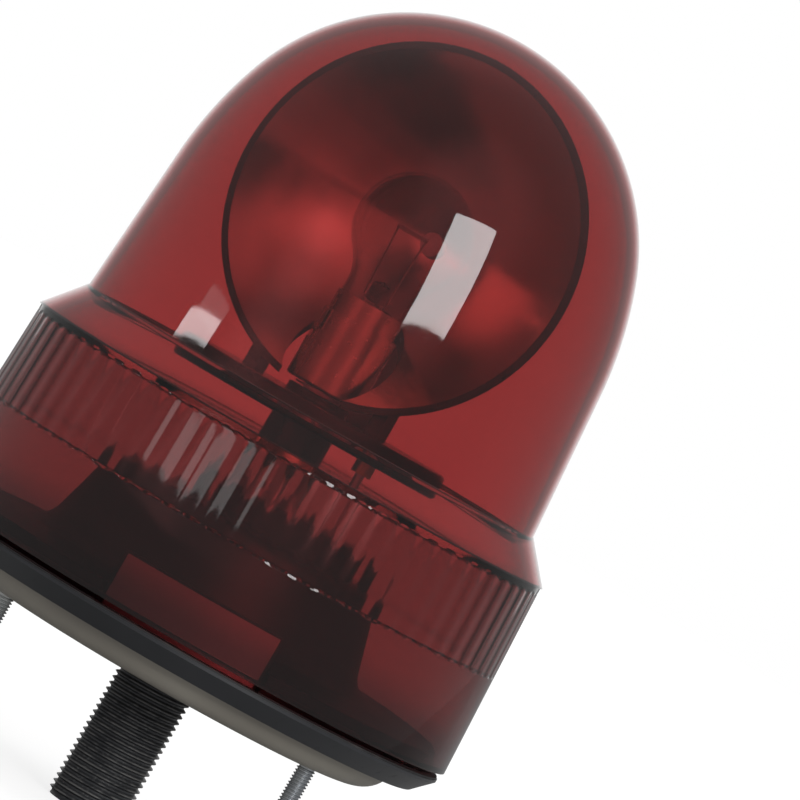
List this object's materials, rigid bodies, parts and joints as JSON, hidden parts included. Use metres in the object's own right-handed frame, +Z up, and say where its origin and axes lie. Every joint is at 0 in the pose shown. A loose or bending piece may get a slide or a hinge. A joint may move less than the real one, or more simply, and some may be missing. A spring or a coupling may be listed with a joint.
{
  "type": "rotating beacon",
  "caption": "Rotating mirror beacon: red transparent globe with ribbed skirt twisted onto a black base, with turntable, gear, motor, lamp, cable stem and mounting studs.",
  "frame": {"origin": "centre of the mounting face, the flat underside of the bottom cover, on the turning axis", "axes": "+Z up along the turning axis towards the top of the globe; -Y is the front, where the mirror faces at rest but for 15 degrees"},
  "size_m": [0.1198, 0.1198, 0.179],
  "materials": {
    "red_globe": "gloss, transparent red acrylic",
    "black_moulding": "fine moulded grain",
    "gloss_black": "polished moulding",
    "grey_moulding": "fine moulded grain",
    "stem_black": "moulded thread",
    "blank_plate": "satin film, blank",
    "rubber": "matt",
    "zinc_steel": "zinc plated",
    "nickel_brass": "nickel plated",
    "brass": "turned",
    "mirror": "vacuum metallised",
    "phenolic": "moulded phenolic",
    "clear_glass": "clear blown glass",
    "tungsten": "drawn wire",
    "solder": "soft solder",
    "magnet": "sintered ferrite and laminated steel",
    "wire_sleeve": "soft vinyl"
  },
  "bodies": {
    "base": {"base_housing": "black_moulding", "globe_seal": "rubber", "rating_plate": "blank_plate", "bottom_cover": "grey_moulding", "cover_gasket": "rubber", "cover_screws": "zinc_steel", "mounting_studs": "zinc_steel", "cable_stem": "stem_black", "stem_locknut": "zinc_steel", "spindle": "zinc_steel", "spindle_screws": "zinc_steel", "thrust_washer": "brass", "retaining_ring": "zinc_steel", "lamp_holder": "nickel_brass", "holder_insulator": "phenolic", "contact_spring": "zinc_steel", "motor_can": "zinc_steel", "motor_bush": "brass", "motor_end_cap": "black_moulding", "motor_terminals": "brass", "motor_magnets": "magnet", "motor_screws": "zinc_steel", "terminal_block": "grey_moulding", "terminal_screws": "zinc_steel", "lamp_leads": "wire_sleeve", "motor_leads": "wire_sleeve"},
    "globe": {"globe": "red_globe"},
    "mirror_turntable": {"turntable": "gloss_black", "hub_bush": "brass", "reflector": "mirror", "reflector_bracket": "zinc_steel", "bracket_screws": "zinc_steel", "mirror_screw": "zinc_steel", "mirror_nut": "zinc_steel"},
    "motor_rotor": {"motor_shaft": "zinc_steel", "drive_pinion": "brass", "motor_armature": "magnet"},
    "lamp": {"lamp_cap": "nickel_brass", "cap_insulator": "phenolic", "lamp_contact": "solder", "lamp_bulb": "clear_glass", "lamp_stem": "clear_glass", "lamp_filament": "tungsten"},
    "contact": {"holder_contact": "brass"}
  },
  "joints": [
    {"name": "mirror_spin", "type": "hinge", "parent": "base", "child": "mirror_turntable", "pos_m": [0, 0, 0.057], "axis": [0, 0, 1], "continuous": true},
    {"name": "motor_spin", "type": "hinge", "parent": "base", "child": "motor_rotor", "pos_m": [0.015, 0, 0.03], "axis": [0, 0, 1], "continuous": true},
    {"name": "globe_twist", "type": "hinge", "parent": "base", "child": "globe", "pos_m": [0, 0, 0.01], "axis": [0, 0, 1], "range_deg": [0, 18]},
    {"name": "lamp_push", "type": "slide", "parent": "base", "child": "lamp", "axis": [0, 0, 1], "range_m": [-0.0012, 0], "stiffness_N_per_m": 1500, "springref_m": 0.002},
    {"name": "contact_slide", "type": "slide", "parent": "base", "child": "contact", "axis": [0, 0, 1], "range_m": [-0.0012, 0], "deforming": ["contact_spring"]}
  ],
  "couplings": [
    {"joint": "motor_spin", "follows": "mirror_spin", "ratio": 6},
    {"joint": "contact_slide", "follows": "lamp_push", "ratio": 1}
  ]
}
